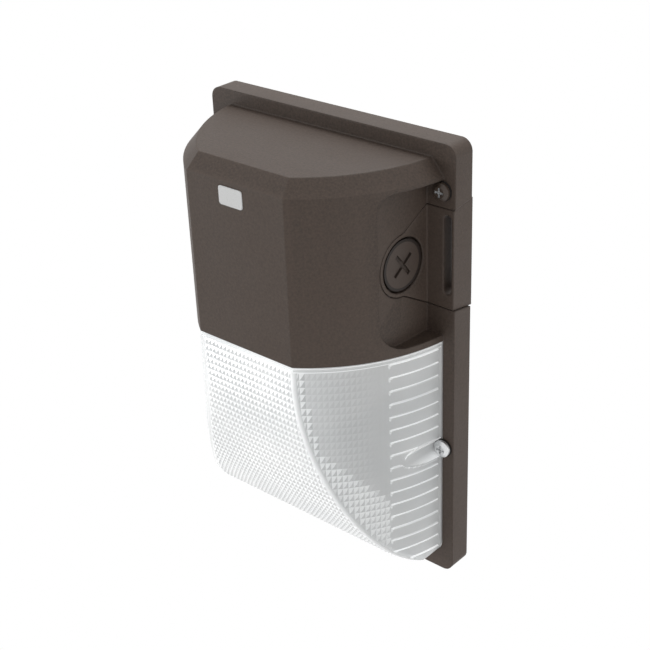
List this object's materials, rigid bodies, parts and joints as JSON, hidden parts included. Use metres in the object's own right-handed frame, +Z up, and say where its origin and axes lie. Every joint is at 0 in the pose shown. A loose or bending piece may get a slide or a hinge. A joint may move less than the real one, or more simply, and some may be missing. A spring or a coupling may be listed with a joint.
{
  "type": "wall pack light",
  "caption": "Upright bronze wall pack light: chamfered dome over a clear prismed refractor, hinged front with captive screws, side conduit plugs and a small light sensor window.",
  "frame": {"origin": "centre of the round wire entry, in the rear face that lies on the wall", "axes": "+X to the right seen from the front, +Y into the wall, +Z up"},
  "size_m": [0.144, 0.0733, 0.22],
  "materials": {
    "bronze_paint": "textured dark bronze powder coat",
    "plug_paint": "textured dark bronze powder coat",
    "clear_lens": "clear, prismed",
    "seal_rubber": "matte",
    "washer_rubber": "matte",
    "steel": "zinc plated",
    "bright_steel": "bright zinc",
    "tray_white": "white powder coat",
    "driver_case": "satin",
    "board_white": "white solder mask on aluminium",
    "chip_yellow": "phosphor",
    "reflector_white": "gloss white",
    "window_pale": "frosted clear",
    "sensor_black": "matte",
    "block_white": "matte",
    "ground_green": "green",
    "lead_black": "insulated lead"
  },
  "bodies": {
    "base": {"rear_box": "bronze_paint", "wall_gasket": "seal_rubber", "door_gasket": "seal_rubber", "hinge_pins": "steel", "gear_tray": "tray_white", "tray_screws": "steel", "driver": "driver_case", "driver_screws": "steel", "led_board": "board_white", "led_chips": "chip_yellow", "board_screws": "steel", "reflector": "reflector_white", "light_sensor": "sensor_black", "sensor_bracket": "steel", "terminal_block": "block_white", "terminal_screws": "steel", "ground_screw": "ground_green", "led_leads": "lead_black", "supply_leads": "lead_black", "sensor_leads": "lead_black"},
    "door": {"front_housing": "bronze_paint", "refractor_lens": "clear_lens", "lens_gasket": "seal_rubber", "lens_clips": "steel", "lens_clip_screws": "steel", "sensor_window": "window_pale"},
    "washer_up": {"washer_upper": "washer_rubber"},
    "screw_up": {"screw_upper": "bright_steel"},
    "washer_low": {"washer_lower": "washer_rubber"},
    "screw_low": {"screw_lower": "bright_steel"},
    "seal_right": {"plug_seal_right": "seal_rubber"},
    "plug_right": {"conduit_plug_right": "plug_paint"},
    "seal_left": {"plug_seal_left": "seal_rubber"},
    "plug_left": {"conduit_plug_left": "plug_paint"}
  },
  "joints": [
    {"name": "door_hinge", "type": "hinge", "parent": "base", "child": "door", "pos_m": [-0.068, -0.0064, 0], "axis": [0, 0, -1], "range_deg": [0, 105]},
    {"name": "screw_upper_out", "type": "slide", "parent": "door", "child": "washer_up", "axis": [0, -1, 0], "range_m": [0, 0.0063]},
    {"name": "screw_upper_turn", "type": "hinge", "parent": "washer_up", "child": "screw_up", "pos_m": [0.0656, -0.0134, 0.089], "axis": [0, -1, 0], "range_deg": [0, 3240]},
    {"name": "screw_lower_out", "type": "slide", "parent": "door", "child": "washer_low", "axis": [0, -1, 0], "range_m": [0, 0.0063]},
    {"name": "screw_lower_turn", "type": "hinge", "parent": "washer_low", "child": "screw_low", "pos_m": [0.0666, -0.0134, -0.0395], "axis": [0, -1, 0], "range_deg": [0, 3240]},
    {"name": "plug_right_out", "type": "slide", "parent": "base", "child": "seal_right", "axis": [0.9981, -0.0611, 0], "range_m": [0, 0.0091]},
    {"name": "plug_right_turn", "type": "hinge", "parent": "seal_right", "child": "plug_right", "pos_m": [0.05597, -0.02893, 0.0573], "axis": [0.9981, -0.0611, 0], "range_deg": [0, 1800]},
    {"name": "plug_left_out", "type": "slide", "parent": "base", "child": "seal_left", "axis": [-0.9981, -0.0611, 0], "range_m": [0, 0.0091]},
    {"name": "plug_left_turn", "type": "hinge", "parent": "seal_left", "child": "plug_left", "pos_m": [-0.05597, -0.02893, 0.0573], "axis": [-0.9981, -0.0611, 0], "range_deg": [0, 1800]}
  ],
  "couplings": [
    {"joint": "screw_upper_out", "follows": "screw_upper_turn", "m_per_rad": 0.00011141},
    {"joint": "screw_lower_out", "follows": "screw_lower_turn", "m_per_rad": 0.00011141},
    {"joint": "plug_right_out", "follows": "plug_right_turn", "m_per_rad": 0.00028875},
    {"joint": "plug_left_out", "follows": "plug_left_turn", "m_per_rad": 0.00028875}
  ]
}
